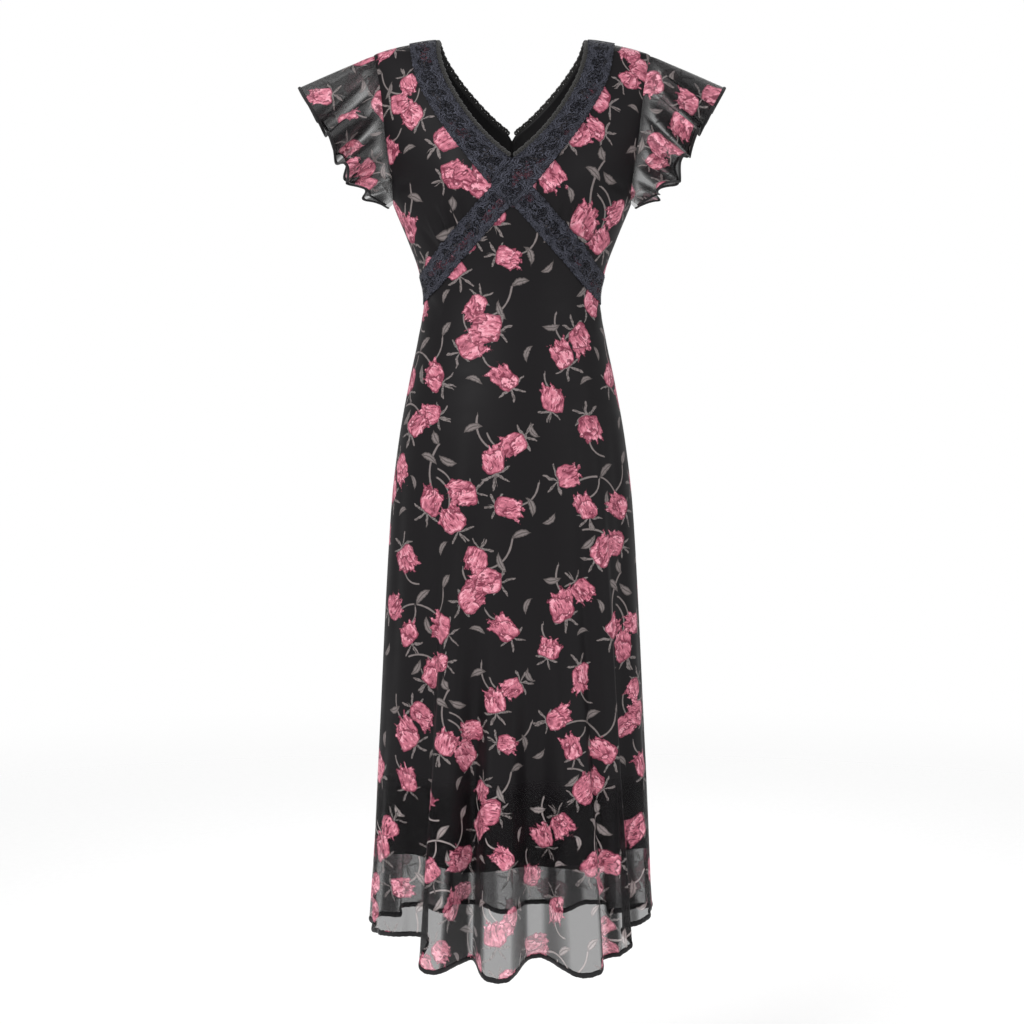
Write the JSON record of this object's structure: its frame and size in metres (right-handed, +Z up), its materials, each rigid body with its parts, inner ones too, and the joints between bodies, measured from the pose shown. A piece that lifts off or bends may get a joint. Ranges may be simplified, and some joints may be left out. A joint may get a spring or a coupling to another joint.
{
  "type": "bodycon dress",
  "caption": "Fitted V-neck midi dress in sheer rosebud-print chiffon over an opaque lining, with crossed lace bands, picot neck edges, flutter sleeves and a fluted hem.",
  "frame": {"origin": "midway between the neck ends of the two shoulder seams, where the wearer's shoulders carry the dress", "axes": "+Z up along the dress, -Y out of its front, +X to the wearer's left"},
  "size_m": [0.5498, 0.3076, 1.1829],
  "materials": {
    "chiffon": "matt, sheer",
    "lining": "matt",
    "lace": "matt, open",
    "edging": "matt"
  },
  "bodies": {
    "root": {"bodice_front_left": "chiffon", "back_left": "chiffon", "lining_front_left": "lining", "lining_back_left": "lining", "lace_neck_left": "lace", "lace_underbust_left": "lace", "picot_front_left": "edging", "picot_back_left": "edging", "sleeve_left": "chiffon", "sleeve_hem_left": "edging", "bodice_front_right": "chiffon", "back_right": "chiffon", "lining_front_right": "lining", "lining_back_right": "lining", "lace_neck_right": "lace", "lace_underbust_right": "lace", "picot_front_right": "edging", "picot_back_right": "edging", "sleeve_right": "chiffon", "sleeve_hem_right": "edging", "front_panel": "chiffon", "skirt_hem_front": "edging", "skirt_hem_back": "edging"}
  },
  "joints": []
}
